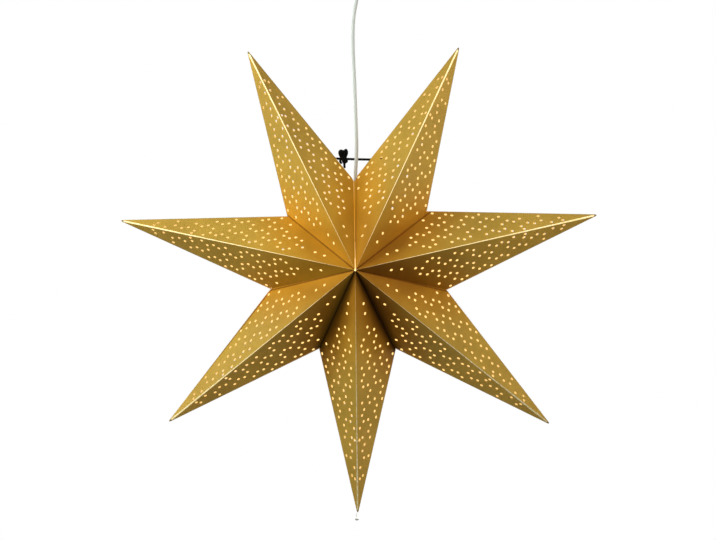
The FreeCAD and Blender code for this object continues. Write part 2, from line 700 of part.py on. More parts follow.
def cup_screws():
    """The two screws that hold the cup to the bridge, from either side."""
    screws = []
    for label, sign, turn in (("left", "-", 90), ("right", "", -90)):
        inward = Rotation(Vector(0, 1, 0), turn)
        shank = primitive("Cylinder", f"{label}_shank", Radius="screw_width / 2", Height="screw_length")
        place(shank, f"{sign}cup_width / 2", "0", "-screw_drop", inward)
        head = primitive("Cylinder", f"{label}_head", Radius="screw_head / 2", Height="screw_head_length")
        place(head, f"{sign}(cup_width / 2 + screw_head_length)", "0", "-screw_drop", inward)
        screws.append(fused(f"{label}_screw", [shank, head]))
    pair = doc.addObject("Part::Compound", "cup_screws")
    pair.Links = screws
    pair.Label = "cup_screws"
    return pair


card_body = folded_card()
doc.recompute()
parts = [star_point(number, card_body) for number in range(1, int(value("point_count")) + 1)]
parts += [
    tie_string(), lamp_cord(), cord_grip(), lampholder_cap(), lampholder_sleeve(), contact_insert(),
    screw_shell(), centre_contact(), bulb(), tip_bead(), ceiling_cup(), cup_grip(), grip_nut(),
    terminal_block(), fixing_bridge(), cup_screws(),
]
doc.recompute()

for item in doc.Objects:
    if "Invalid" in item.State or "Error" in item.State:
        raise RuntimeError(f"{item.Label} failed: {item.State}")
for item in parts:
    if item.Shape.isNull() or not item.Shape.isValid() or item.Shape.Volume <= 0:
        raise RuntimeError(f"{item.Label} has no sound shape")

os.makedirs("parts", exist_ok=True)
for item in parts:
    item.Shape.exportStep(f"parts/{item.Label}.step")
    box = item.Shape.BoundBox
    print(f"{item.Label}: {len(item.Shape.Solids)} solid, {item.Shape.Volume:.0f} mm3, "
          f"{box.XLength:.1f} x {box.YLength:.1f} x {box.ZLength:.1f} mm")
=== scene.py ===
import math
import bmesh
import bpy
from mathutils import Matrix, Vector


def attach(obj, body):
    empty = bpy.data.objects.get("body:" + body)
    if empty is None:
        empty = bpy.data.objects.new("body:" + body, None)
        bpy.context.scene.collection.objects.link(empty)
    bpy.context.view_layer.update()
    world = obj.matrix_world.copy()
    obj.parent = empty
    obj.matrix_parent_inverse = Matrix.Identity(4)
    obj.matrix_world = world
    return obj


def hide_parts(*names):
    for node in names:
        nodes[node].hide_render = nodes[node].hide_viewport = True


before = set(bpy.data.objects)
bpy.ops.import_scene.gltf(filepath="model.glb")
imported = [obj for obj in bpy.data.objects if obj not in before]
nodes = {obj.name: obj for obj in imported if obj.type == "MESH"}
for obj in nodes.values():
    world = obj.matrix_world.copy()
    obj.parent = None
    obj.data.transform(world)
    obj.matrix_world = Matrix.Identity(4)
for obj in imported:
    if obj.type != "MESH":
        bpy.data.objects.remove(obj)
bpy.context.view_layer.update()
scene = bpy.context.scene
mm = 0.001

# sizes of the folded star, in millimetres, as in the frame
star = {
    "points": 7,
    "centreZ": -372,
    "tipRadius": 300,
    "valleyRadius": 109,
    "halfDepth": 84,
    "card": 0.4,
    "seamSetback": 0.3,  # each side of the open top seam
    "cordNotch": 2.4,  # along both edges from the top valley
    "flapWidth": 9,
    "flapStart": 14,
    "foldWidth": 1.5,  # rounding of a fold, where the print is worn pale
    "sideFold": 0.35,  # share of that width on the outer edges
    "seamBow": -0.9,  # sideways bow of the open seam
    "bowFade": 8,  # how fast it fades away from the seam
    "mergeWithin": 0.02,  # corners of two sheets nearer than this become one
    "onFold": 0.01,  # how near to a fold's plane its edges lie
}
halfTurn = math.pi / star["points"]  # from a ridge to the next valley, seen from the front

# the photograph's frame and the long lens that it was taken with
photo = {
    "width": 716,
    "height": 540,
    "starX": 356.9,
    "starY": 270.6,
    "azimuth": 1.35,
    "elevation": -0.45,
    "millimetresPerPixel": 1.2245,
    "distance": 4000,
    "sensor": 36,
    "farClip": 50,
    # where the tips and the valleys lie in the picture, clockwise from the top seam
    "tips": [(460.2, 44.5), (599.6, 214.4), (551.4, 425.4), (357.7, 515.6), (166.3, 423.6), (117.4, 219.8),
             (246.1, 48.1)],
    "valleys": [(353.8, 180), (427, 211), (447, 290), (396, 349), (319, 349), (270, 289), (287, 216)],
}


def fromPhoto(pixelX, pixelY):
    scale = photo["millimetresPerPixel"]
    x = (pixelX - photo["starX"]) * scale
    z = star["centreZ"] - (pixelY - photo["starY"]) * scale
    return Vector((x, 0, z)) * mm


def newObject(name, data):
    item = bpy.data.objects.new(name, data)
    scene.collection.objects.link(item)
    return item


def makeCamera():
    data = bpy.data.cameras.new("photoCamera")
    camera = newObject("photoCamera", data)
    frameWidth = photo["width"] * photo["millimetresPerPixel"]
    data.sensor_width = photo["sensor"]
    data.lens = photo["sensor"] * photo["distance"] / frameWidth
    data.clip_end = photo["farClip"]
    turn, rise = math.radians(photo["azimuth"]), math.radians(photo["elevation"])
    back = Vector((math.sin(turn) * math.cos(rise), -math.cos(turn) * math.cos(rise), math.sin(rise)))
    camera.rotation_euler = (-back).to_track_quat("-Z", "Y").to_euler()
    camera.location = fromPhoto(photo["width"] / 2, photo["height"] / 2) + back * photo["distance"] * mm
    scene.camera = camera


makeCamera()
print("camera ready")


# small helpers for node trees, meshes and materials

def addNode(tree, kind, inputs=None, **settings):
    node = tree.nodes.new(kind)
    for key, setting in settings.items():
        setattr(node, key, setting)
    for key, source in (inputs or {}).items():
        socket = node.inputs[key]
        if isinstance(source, bpy.types.NodeSocket):
            tree.links.new(source, socket)
        else:
            socket.default_value = source
    return node


def vectorMath(tree, operation, *sources):
    node = addNode(tree, "ShaderNodeVectorMath", dict(enumerate(sources)), operation=operation)
    return node.outputs["Value" if operation in ("DOT_PRODUCT", "LENGTH", "DISTANCE") else "Vector"]


def scaled(tree, vector, factor):
    node = addNode(tree, "ShaderNodeVectorMath", {0: vector, "Scale": factor}, operation="SCALE")
    return node.outputs["Vector"]


def scalarMath(tree, operation, *sources):
    return addNode(tree, "ShaderNodeMath", dict(enumerate(sources)), operation=operation).outputs[0]


def product(tree, first, *others):
    for other in others:
        first = scalarMath(tree, "MULTIPLY", first, other)
    return first


def lessened(tree, factor, share=1.0):
    # 1 where the factor is 0, and less by the share where it is 1
    return scalarMath(tree, "SUBTRACT", 1.0, product(tree, factor, share))


def partsOf(tree, vector):
    return addNode(tree, "ShaderNodeSeparateXYZ", {0: vector}).outputs


def newTree(name, inputs):
    tree = bpy.data.node_groups.new(name, "GeometryNodeTree")
    tree.interface.new_socket("Geometry", in_out="INPUT", socket_type="NodeSocketGeometry")
    for label, kind in inputs.items():
        tree.interface.new_socket(label, in_out="INPUT", socket_type=f"NodeSocket{kind}")
    tree.interface.new_socket("Geometry", in_out="OUTPUT", socket_type="NodeSocketGeometry")
    return tree, addNode(tree, "NodeGroupInput").outputs


def finishTree(tree, geometry, material):
    realized = addNode(tree, "GeometryNodeRealizeInstances", {0: geometry}).outputs[0]
    painted = addNode(tree, "GeometryNodeSetMaterial", {0: realized, "Material": material}).outputs[0]
    addNode(tree, "NodeGroupOutput", {0: painted})


def grown(name, base, tree, values):
    # the mesh that a tree makes of its base, with no modifier left on it
    source = newObject(f"{name}Source", base)
    modifier = source.modifiers.new(tree.name, "NODES")
    modifier.node_group = tree
    for item in tree.interface.items_tree:
        if item.in_out == "INPUT" and item.name in values:
            modifier[item.identifier] = values[item.name]
    evaluated = source.evaluated_get(bpy.context.evaluated_depsgraph_get())
    mesh = bpy.data.meshes.new_from_object(evaluated)
    bpy.data.objects.remove(source)
    mesh.name = name
    return mesh


def pointMesh(name, spots, flags):
    mesh = bpy.data.meshes.new(name)
    mesh.from_pydata([tuple(spot) for spot in spots], [], [])
    attribute = mesh.attributes.new("repeats", "BOOLEAN", "POINT")
    for item, flag in zip(attribute.data, flags):
        item.value = flag
    return mesh


def startMaterial(name, colour, roughness, metallic=0.0):
    material = bpy.data.materials.new(name)
    material.use_nodes = True
    tree = material.node_tree
    shader = tree.nodes["Principled BSDF"]
    shader.inputs["Base Color"].default_value = (*colour, 1)
    shader.inputs["Roughness"].default_value = roughness
    shader.inputs["Metallic"].default_value = metallic
    place = addNode(tree, "ShaderNodeTexCoord").outputs["Object"]
    return material, tree, shader, place


def noise(tree, place, scale, detail=2.0, roughness=0.5):
    node = addNode(tree, "ShaderNodeTexNoise", {"Vector": place, "Scale": scale, "Detail": detail,
                                                "Roughness": roughness})
    return node.outputs["Fac"]


def mapped(tree, factor, low, high, start=0.0, end=1.0):
    node = addNode(tree, "ShaderNodeMapRange", {"Value": factor, "From Min": start, "From Max": end,
                                                "To Min": low, "To Max": high})
    return node.outputs["Result"]


def blended(tree, factor, first, second):
    node = addNode(tree, "ShaderNodeMix", {"Factor": factor}, data_type="RGBA")
    for key, colour in ((6, first), (7, second)):
        if isinstance(colour, bpy.types.NodeSocket):
            tree.links.new(colour, node.inputs[key])
        else:
            node.inputs[key].default_value = (*colour, 1)
    return node.outputs[2]


def ramped(tree, factor, stops):
    node = addNode(tree, "ShaderNodeValToRGB", {0: factor})
    marks = node.color_ramp.elements
    while len(marks) < len(stops):
        marks.new(0.5)
    for mark, (position, colour) in zip(marks, stops):
        mark.position = position
        mark.color = (*colour, 1)
    return node.outputs[0]


def bumped(tree, height, distance, strength=1.0, under=None):
    inputs = {"Height": height, "Distance": distance, "Strength": strength}
    if under is not None:
        inputs["Normal"] = under
    return addNode(tree, "ShaderNodeBump", inputs).outputs["Normal"]


# materials

noiseRange = (0.3, 0.7)  # where most of a noise texture's values lie

gold = {
    # the print as it looks at some distances in metres from the star's centre, darkened towards the centre by
    # painted shade
    "print": [(0.080, (0.43, 0.190, 0.018)), (0.092, (0.53, 0.254, 0.028)), (0.110, (0.56, 0.275, 0.030)),
              (0.137, (0.58, 0.312, 0.041)), (0.175, (0.585, 0.324, 0.044)), (0.233, (0.59, 0.326, 0.048))],
    # tint from the valleys to the ridges: more orange near the valleys as painted light bounced between the
    # facets
    "ridgeTint": (0.95, 1.03, 1.10),
    "valleyBounceTint": (1.08, 0.96, 0.60),
    "valleyReach": 40,
    "mottle": 0.10,
    "mottleScale": 22,
    "speck": 0.07,
    "fibreScale": 900,
    "fibreHeight": 0.12,
    "waveScale": 14,
    "waveHeight": 4,
    "roughness": 0.42,
    "metallic": 0.10,
    "specular": 0.08,
    # painted shade: reddish dark lines in the grooves along the glued valleys, from one distance beside the
    # fold to another
    "creaseShade": (0.20, 0.055, 0.004),
    "creaseShare": 0.85,
    "creaseFrom": 0.2,
    "creaseWidth": 1.3,
    # wide shade in the valleys whose way from the centre points down between these heights
    "hollowShade": 0.88,
    "hollowReach": 12.0,
    "hollowCurve": 1.4,
    "hollowWays": (-0.86, -0.60),
    # painted shade: a darker print where the normal's height is between these, most of all near the middle
    "downShade": 0.55,
    "downNormals": (-0.60, -0.35),
    "downReach": (0.03, 0.17),
    # lamplight through the card, in metres from its brightest place and along the valleys
    "glowColour": (1.0, 0.56, 0.04),
    "glowStrength": 0.11,
    "glowCentre": (-0.025, 0.0, -0.340),
    "glowReach": (0.07, 0.15),
    "glowCurve": 1.6,
    "valleyGlow": 0.07,
    "valleyGlowWidth": 16,
    "valleyGlowReach": (0.05, 0.16),
    "glowWay": (-0.8, 0.0, 0.6),  # the upper left points look lit the most
    "glowWays": (-0.4, 0.9),
}

insideCard = {
    "dull": (0.80, 0.66, 0.38),
    "pale": (0.90, 0.79, 0.52),
    "glowColour": (1.0, 0.80, 0.44),
    "glow": (0.42, 0.20),  # near the middle and near the tips
    "glowReach": (0.06, 0.30),
}

cutCard = {
    "dull": (0.70, 0.46, 0.18),
    "pale": (0.88, 0.68, 0.38),
    "glow": 0.10,
    # the open seam's edges lit from inside as painted lamplight, orange low down and paler at its top
    "seamReach": 6,
    "seamHeights": (-0.288, -0.268),
    "seamLow": (0.62, 0.26, 0.02),
    "seamHigh": (0.72, 0.46, 0.18),
    "seamLowGlow": (1.0, 0.50, 0.03),
    "seamHighGlow": (1.0, 0.72, 0.26),
    "seamGlow": 0.46,
}

fold = {
    "rubbed": (0.82, 0.56, 0.20),
    "worn": (0.98, 0.86, 0.56),
    "outer": (0.34, 0.23, 0.08),
    "outerDepth": 1.2,
    # painted highlight along the ridges, strongest on the upper folds
    "glowColour": (1.0, 0.76, 0.34),
    "glow": (0.06, 0.62),
    "glowWay": (-0.3, 0.0, 0.95),
    "glowWays": (-0.8, -0.1),
    # the two upper cards part below the tie: a pale cut edge on the left, a shaded one on the right
    "partedCentre": (-0.0155, 0, -0.249),
    "partedReach": 17.5,
    "partedEdge": (0.95, 0.80, 0.70),
    "partedGlow": 0.4,
    "shadedCentre": (0.0085, 0, -0.247),
    "shadedReach": 15.5,
    "shadedEdge": (0.10, 0.05, 0.015),
}


def fromValleys(tree, place):
    # radius and distance from the nearest valley fold, both seen from the front, in metres
    parts = partsOf(tree, place)
    height = scalarMath(tree, "SUBTRACT", parts["Z"], star["centreZ"] * mm)
    angle = scalarMath(tree, "ARCTAN2", parts["X"], height)
    turned = scalarMath(tree, "PINGPONG", angle, halfTurn)
    flatPlace = addNode(tree, "ShaderNodeCombineXYZ", {"X": parts["X"], "Y": 0.0, "Z": height}).outputs[0]
    radius = vectorMath(tree, "LENGTH", flatPlace)
    way = vectorMath(tree, "NORMALIZE", flatPlace)
    return radius, way, product(tree, radius, scalarMath(tree, "SINE", turned))


def printWithPaintedShadeAndBounce(tree, place, offValley):
    # the print's colour, darkened towards the centre by painted shade
    fromCentre = vectorMath(tree, "DISTANCE", place, (0, 0, star["centreZ"] * mm))
    first, last = gold["print"][0][0], gold["print"][-1][0]
    tone = ramped(tree, mapped(tree, fromCentre, 0.0, 1.0, first, last),
                  [((distance - first) / (last - first), colour) for distance, colour in gold["print"]])
    # painted bounced light: more orange near the valleys, fading out towards the ridges
    aside = mapped(tree, offValley, 0.0, 1.0, 0.0, gold["valleyReach"] * mm)
    tint = blended(tree, aside, gold["valleyBounceTint"], gold["ridgeTint"])
    return vectorMath(tree, "MULTIPLY", tone, tint)


def mottleAndPaintedShade(tree, place, radius, offValley, upwards, fibre):
    # random mottle and speck of the print, times painted shade in the two lowest valleys and on the facets
    # that face down
    cloud = noise(tree, place, scale=gold["mottleScale"], detail=3)
    mottle = mapped(tree, cloud, 1 - gold["mottle"], 1 + gold["mottle"], *noiseRange)
    speck = mapped(tree, fibre, 1 - gold["speck"], 1 + gold["speck"], *noiseRange)
    beside = mapped(tree, offValley, 1.0, 0.0, 0.0, gold["hollowReach"] * mm)
    hollow = product(tree, scalarMath(tree, "POWER", beside, gold["hollowCurve"]),
                     mapped(tree, upwards, 1.0, 0.0, *gold["hollowWays"]))
    # painted shade on the facets that face down, most near the middle
    normal = addNode(tree, "ShaderNodeNewGeometry").outputs["Normal"]
    down = product(tree, mapped(tree, partsOf(tree, normal)["Z"], 1.0, 0.0, *gold["downNormals"]),
                   mapped(tree, radius, 1.0, 0.0, *gold["downReach"]))
    return product(tree, mottle, speck, lessened(tree, hollow, gold["hollowShade"]),
                   lessened(tree, down, gold["downShade"]))


def lampGlow(tree, place, radius, way, offValley):
    away = vectorMath(tree, "DISTANCE", place, gold["glowCentre"])
    near = mapped(tree, away, 1.0, 0.0, *gold["glowReach"])
    middle = product(tree, scalarMath(tree, "POWER", near, gold["glowCurve"]), gold["glowStrength"])
    beside = mapped(tree, offValley, 1.0, 0.0, 0.0, gold["valleyGlowWidth"] * mm)
    inner = mapped(tree, radius, 1.0, 0.0, *gold["valleyGlowReach"])
    along = product(tree, beside, inner, gold["valleyGlow"])
    towards = mapped(tree, vectorMath(tree, "DOT_PRODUCT", way, gold["glowWay"]), 0.0, 1.0,
                     *gold["glowWays"])
    return product(tree, scalarMath(tree, "ADD", middle, along), towards)


def goldCardMaterial():
    material, tree, shader, place = startMaterial("goldCard", gold["print"][-1][1], gold["roughness"],
                                                  gold["metallic"])
    radius, way, offValley = fromValleys(tree, place)
    upwards = partsOf(tree, way)["Z"]
    glued = scalarMath(tree, "LESS_THAN", upwards, math.cos(halfTurn))
    # painted shade: dark reddish lines in the grooves along the glued valleys, where the glow is held back
    # too
    creaseShade = mapped(tree, offValley, gold["creaseShare"], 0.0, gold["creaseFrom"] * mm,
                    gold["creaseWidth"] * mm)
    tone = blended(tree, product(tree, creaseShade, glued), printWithPaintedShadeAndBounce(tree, place, offValley), gold["creaseShade"])
    fibre = noise(tree, place, scale=gold["fibreScale"])
    shade = mottleAndPaintedShade(tree, place, radius, offValley, upwards, fibre)
    tree.links.new(scaled(tree, tone, shade), shader.inputs["Base Color"])
    wave = noise(tree, place, scale=gold["waveScale"], detail=1)
    waved = bumped(tree, wave, gold["waveHeight"] * mm, 0.6)
    tree.links.new(bumped(tree, fibre, gold["fibreHeight"] * mm, 0.5, waved), shader.inputs["Normal"])
    rough = mapped(tree, fibre, gold["roughness"] - 0.06, gold["roughness"] + 0.08, *noiseRange)
    tree.links.new(rough, shader.inputs["Roughness"])
    shader.inputs["Specular IOR Level"].default_value = gold["specular"]
    shader.inputs["Emission Color"].default_value = (*gold["glowColour"], 1)
    glow = lampGlow(tree, place, radius, way, offValley)
    tree.links.new(product(tree, glow, lessened(tree, creaseShade)), shader.inputs["Emission Strength"])
    return material


def cardInsideMaterial():
    material, tree, shader, place = startMaterial("cardInside", (0.86, 0.74, 0.46), 0.85)
    fibre = noise(tree, place, scale=700, detail=3)
    tone = blended(tree, mapped(tree, fibre, 0, 1, *noiseRange), insideCard["dull"], insideCard["pale"])
    tree.links.new(tone, shader.inputs["Base Color"])
    tree.links.new(bumped(tree, fibre, 0.1 * mm, 0.5), shader.inputs["Normal"])
    away = vectorMath(tree, "DISTANCE", place, (0, 0, star["centreZ"] * mm))
    glow = mapped(tree, away, *insideCard["glow"], *insideCard["glowReach"])
    shader.inputs["Emission Color"].default_value = (*insideCard["glowColour"], 1)
    tree.links.new(glow, shader.inputs["Emission Strength"])
    return material


def cutEdgeMaterial():
    material, tree, shader, place = startMaterial("cutEdge", (0.80, 0.58, 0.28), 0.8)
    fibre = noise(tree, place, scale=1500)
    tone = blended(tree, fibre, cutCard["dull"], cutCard["pale"])
    tree.links.new(bumped(tree, fibre, 0.1 * mm, 0.6), shader.inputs["Normal"])
    parts = partsOf(tree, place)
    # painted lamplight on the open seam's edges
    seam = scalarMath(tree, "LESS_THAN", scalarMath(tree, "ABSOLUTE", parts["X"]), cutCard["seamReach"] * mm)
    top = mapped(tree, parts["Z"], 0.0, 1.0, *cutCard["seamHeights"])
    seamTone = blended(tree, top, cutCard["seamLow"], cutCard["seamHigh"])
    tree.links.new(blended(tree, seam, tone, seamTone), shader.inputs["Base Color"])
    shine = blended(tree, top, cutCard["seamLowGlow"], cutCard["seamHighGlow"])
    tree.links.new(shine, shader.inputs["Emission Color"])
    glow = mapped(tree, seam, cutCard["glow"], cutCard["seamGlow"])
    tree.links.new(glow, shader.inputs["Emission Strength"])
    shader.inputs["Specular IOR Level"].default_value = 0.1
    return material


def foldLineMaterial():
    # worn pale on the ridges, with a painted highlight that glows most on the upper ones, and dull brown on
    # the outer edges
    material, tree, shader, place = startMaterial("foldLine", (0.90, 0.74, 0.42), 0.55)
    wear = noise(tree, place, scale=320, detail=3, roughness=0.65)
    pale = blended(tree, mapped(tree, wear, 0, 1, 0.36, 0.56), fold["rubbed"], fold["worn"])
    depth = scalarMath(tree, "ABSOLUTE", partsOf(tree, place)["Y"])
    outer = scalarMath(tree, "LESS_THAN", depth, fold["outerDepth"] * mm)
    tone = blended(tree, outer, pale, fold["outer"])
    masks = {}
    for name in ("parted", "shaded"):
        away = vectorMath(tree, "DISTANCE", place, fold[f"{name}Centre"])
        near = scalarMath(tree, "LESS_THAN", away, fold[f"{name}Reach"] * mm)
        masks[name] = product(tree, outer, near)
        tone = blended(tree, masks[name], tone, fold[f"{name}Edge"])
    tree.links.new(tone, shader.inputs["Base Color"])
    tree.links.new(bumped(tree, wear, 0.2 * mm, 0.5), shader.inputs["Normal"])
    # painted light: the ridges glow as a highlight, most on the upper folds, and the pale parted edge glows
    # too
    way = fromValleys(tree, place)[1]
    upper = mapped(tree, vectorMath(tree, "DOT_PRODUCT", way, fold["glowWay"]), *fold["glow"],
                   *fold["glowWays"])
    glow = scalarMath(tree, "ADD", product(tree, upper, lessened(tree, outer)),
                      product(tree, masks["parted"], fold["partedGlow"]))
    shader.inputs["Emission Color"].default_value = (*fold["glowColour"], 1)
    tree.links.new(glow, shader.inputs["Emission Strength"])
    shader.inputs["Specular IOR Level"].default_value = 0.1
    return material


def stringMaterial():
    material, tree, shader, place = startMaterial("blackString", (0.006, 0.006, 0.006), 0.9)
    fibre = noise(tree, place, scale=2600, detail=3)
    tone = blended(tree, fibre, (0.002, 0.002, 0.002), (0.012, 0.011, 0.011))
    tree.links.new(tone, shader.inputs["Base Color"])
    tree.links.new(bumped(tree, fibre, 0.2 * mm, 0.6), shader.inputs["Normal"])
    shader.inputs["Specular IOR Level"].default_value = 0.08
    return material


def plasticMaterial(name, colour, roughness, grain=0.04):
    material, tree, shader, place = startMaterial(name, colour, roughness)
    cloud = noise(tree, place, scale=60)
    darker = tuple(channel * 0.94 for channel in colour)
    tree.links.new(blended(tree, cloud, darker, colour), shader.inputs["Base Color"])
    skin = noise(tree, place, scale=1800)
    tree.links.new(bumped(tree, skin, grain * mm, 0.5), shader.inputs["Normal"])
    tree.links.new(mapped(tree, skin, roughness - 0.05, roughness + 0.08, *noiseRange),
                   shader.inputs["Roughness"])
    shader.inputs["Subsurface Weight"].default_value = 0.05
    shader.inputs["Subsurface Radius"].default_value = (1 * mm, 1 * mm, 1 * mm)
    return material


def metalMaterial(name, colour, dull, roughness):
    material, tree, shader, place = startMaterial(name, colour, roughness, 1.0)
    stain = noise(tree, place, scale=180, detail=4, roughness=0.6)
    tree.links.new(blended(tree, stain, dull, colour), shader.inputs["Base Color"])
    scratch = noise(tree, place, scale=2400)
    tree.links.new(mapped(tree, scratch, roughness - 0.05, roughness + 0.12, *noiseRange),
                   shader.inputs["Roughness"])
    tree.links.new(bumped(tree, scratch, 0.03 * mm, 0.4), shader.inputs["Normal"])
    return material


lamp = {"glow": (1.0, 0.66, 0.26), "strength": 1.3, "glassFoot": -0.3375}


def lampGlassMaterial():
    material, tree, shader, place = startMaterial("lampGlass", (0.95, 0.93, 0.88), 0.25)
    frost = noise(tree, place, scale=900)
    tree.links.new(bumped(tree, frost, 0.03 * mm, 0.4), shader.inputs["Normal"])
    shader.inputs["Emission Color"].default_value = (*lamp["glow"], 1)
    shader.inputs["Emission Strength"].default_value = lamp["strength"]
    return material


goldCard = goldCardMaterial()
cardInside = cardInsideMaterial()
cutEdge = cutEdgeMaterial()
foldLine = foldLineMaterial()
blackString = stringMaterial()
whitePlastic = plasticMaterial("whitePlastic", (0.84, 0.83, 0.80), 0.35)
cordSheath = plasticMaterial("cordSheath", (0.84, 0.86, 0.84), 0.6, 0.06)
cordSheath.node_tree.nodes["Principled BSDF"].inputs["Specular IOR Level"].default_value = 0.05
insertPlastic = plasticMaterial("insertPlastic", (0.70, 0.66, 0.56), 0.45)
brassSheet = metalMaterial("brassSheet", (0.88, 0.66, 0.30), (0.66, 0.46, 0.20), 0.28)
nickel = metalMaterial("nickel", (0.82, 0.80, 0.77), (0.66, 0.64, 0.61), 0.16)
steel = metalMaterial("steel", (0.62, 0.63, 0.64), (0.48, 0.49, 0.50), 0.34)
lampGlass = lampGlassMaterial()
print("materials ready")


# the seven punched and folded points

def localPoint(x, y, z):
    return Vector((x, y, z)) * mm


apex = localPoint(0, 0, star["halfDepth"])
tip = localPoint(star["tipRadius"], 0, 0)
valley = localPoint(star["valleyRadius"] * math.cos(halfTurn), star["valleyRadius"] * math.sin(halfTurn), 0)
ridgeWay = (tip - apex).normalized()
acrossWay = ((valley - apex) - ridgeWay * (valley - apex).dot(ridgeWay)).normalized()
# half the width that a point's two outer edges would have above the star's centre
halfWidth = (star["valleyRadius"] * math.sin(halfTurn) * star["tipRadius"]
             / (star["tipRadius"] - star["valleyRadius"] * math.cos(halfTurn)))


def flat(spot):
    # a place on the first facet: along its ridge from the apex, and off the ridge
    return Vector(((spot - apex).dot(ridgeWay), (spot - apex).dot(acrossWay), 0))


# one group of holes in millimetres along the ridge and off it, repeated in steps and rows
punching = {
    "group": [(97.4, 9.9), (105.7, 12.4), (105.5, 20.8), (113.7, 25.0), (120.4, 20.8),
              (125.7, 10.2), (128.9, 23.6), (134.9, 13.8)],
    "single": [(45.4, 14.4), (58.4, 16.9), (200.7, 5.7), (215.6, 4.7), (251.1, 5.7), (265.3, 4.7)],
    "pitch": 44.1,
    "row": 22.6,
    "rowShift": 0.6,
    "stepsBefore": 1,
    "steps": 5,
    "rows": 3,
    "holeRadius": 1.85,
    "holeSides": 16,
    "backShift": {1: -4, 2: 3.5, 3: -5, 4: 4, 5: 5, 6: -3, 7: 4},  # keeps front and back holes apart
    "firstStation": 74,  # no repeated hole nearer to the apex along the ridge
    "firstCorner": 93,  # nor where this is more than the sum of both distances
    "ridgeMargin": 8.5,
    "valleyMargin": 6.8,
    "edgeMargin": 4.0,
    "stretchFrom": 218,
    "stretchTo": 262,
    "stretch": 5,  # gained by the repeated holes between these stations
}

facetInputs = {
    "Hole Radius": "Float", "Pitch": "Vector", "Row": "Vector", "Steps": "Int", "Rows": "Int",
    "First Station": "Float", "First Corner": "Float",
    "Ridge Margin": "Float", "Valley Margin": "Float", "Edge Margin": "Float",
    "Stretch From": "Float", "Stretch To": "Float", "Stretch": "Float",
    "Apex": "Vector", "Tip": "Vector", "Valley": "Vector", "Apex Place": "Vector",
    "Ridge Way": "Vector", "Across Way": "Vector",
    "Left Start": "Vector", "Left Outer": "Vector", "Left Inner": "Vector",
    "Right Start": "Vector", "Right Outer": "Vector", "Right Inner": "Vector",
    "Back Shift": "Vector", "Side Fold": "Float",
    "Flap Foot": "Vector", "Flap Rim": "Vector", "Flap Corner": "Vector", "Flap Top": "Vector",
}


def punchedFacet(tree, given, start, outer, inner, rings):
    # the outline is filled round the holes while flat, then stood in the facet's plane
    edge = addNode(tree, "GeometryNodeCurvePrimitiveQuadrilateral", {
        "Point 1": given[start], "Point 2": given["Tip"], "Point 3": given[outer],
        "Point 4": given[inner]}, mode="POINTS").outputs[0]
    drawn = addNode(tree, "GeometryNodeJoinGeometry")
    tree.links.new(edge, drawn.inputs[0])
    tree.links.new(rings, drawn.inputs[0])
    filled = addNode(tree, "GeometryNodeFillCurve", {0: drawn.outputs[0]}).outputs[0]
    spot = addNode(tree, "GeometryNodeInputPosition").outputs[0]
    parts = partsOf(tree, spot)
    along = scaled(tree, given["Ridge Way"], parts["X"])
    across = scaled(tree, given["Across Way"], parts["Y"])
    place = vectorMath(tree, "ADD", vectorMath(tree, "ADD", given["Apex Place"], along), across)
    return addNode(tree, "GeometryNodeSetPosition", {"Geometry": filled, "Position": place}).outputs[0]


def mirrored(tree, geometry, scale):
    # a copy for another side of the point, with its faces still turned outwards
    turned = addNode(tree, "GeometryNodeTransform", {"Geometry": geometry, "Scale": scale}).outputs[0]
    if scale[0] * scale[1] * scale[2] < 0:
        turned = addNode(tree, "GeometryNodeFlipFaces", {0: turned}).outputs[0]
    return turned


def holeStations(tree, given):
    line = addNode(tree, "GeometryNodeMeshLine", {"Count": given["Steps"], "Offset": given["Pitch"]})
    column = addNode(tree, "GeometryNodeMeshLine", {"Count": given["Rows"], "Offset": given["Row"]})
    rows = addNode(tree, "GeometryNodeInstanceOnPoints", {"Points": line.outputs[0],
                                                          "Instance": column.outputs[0]})
    return addNode(tree, "GeometryNodeRealizeInstances", {0: rows.outputs[0]}).outputs[0]


def nearFold(tree, given, spot):
    # 1 where a hole would come too near to a fold or to the front's middle
    parts = partsOf(tree, spot)
    up = (0, 0, 1)
    valleySide = vectorMath(tree, "NORMALIZE", vectorMath(tree, "CROSS_PRODUCT", given["Valley"], up))
    fromValley = vectorMath(tree, "DOT_PRODUCT", spot, valleySide)
    edgeWay = vectorMath(tree, "SUBTRACT", given["Tip"], given["Valley"])
    edgeSide = vectorMath(tree, "NORMALIZE", vectorMath(tree, "CROSS_PRODUCT", edgeWay, up))
    fromEdge = vectorMath(tree, "DOT_PRODUCT", vectorMath(tree, "SUBTRACT", spot, given["Valley"]), edgeSide)
    slant = scalarMath(tree, "ADD", parts["X"], parts["Y"])
    dropped = 0.0
    for distance, margin in ((parts["X"], "First Station"), (slant, "First Corner"),
                             (parts["Y"], "Ridge Margin"), (fromValley, "Valley Margin"),
                             (fromEdge, "Edge Margin")):
        short = scalarMath(tree, "LESS_THAN", distance, given[margin])
        dropped = scalarMath(tree, "MAXIMUM", dropped, short)
    return dropped


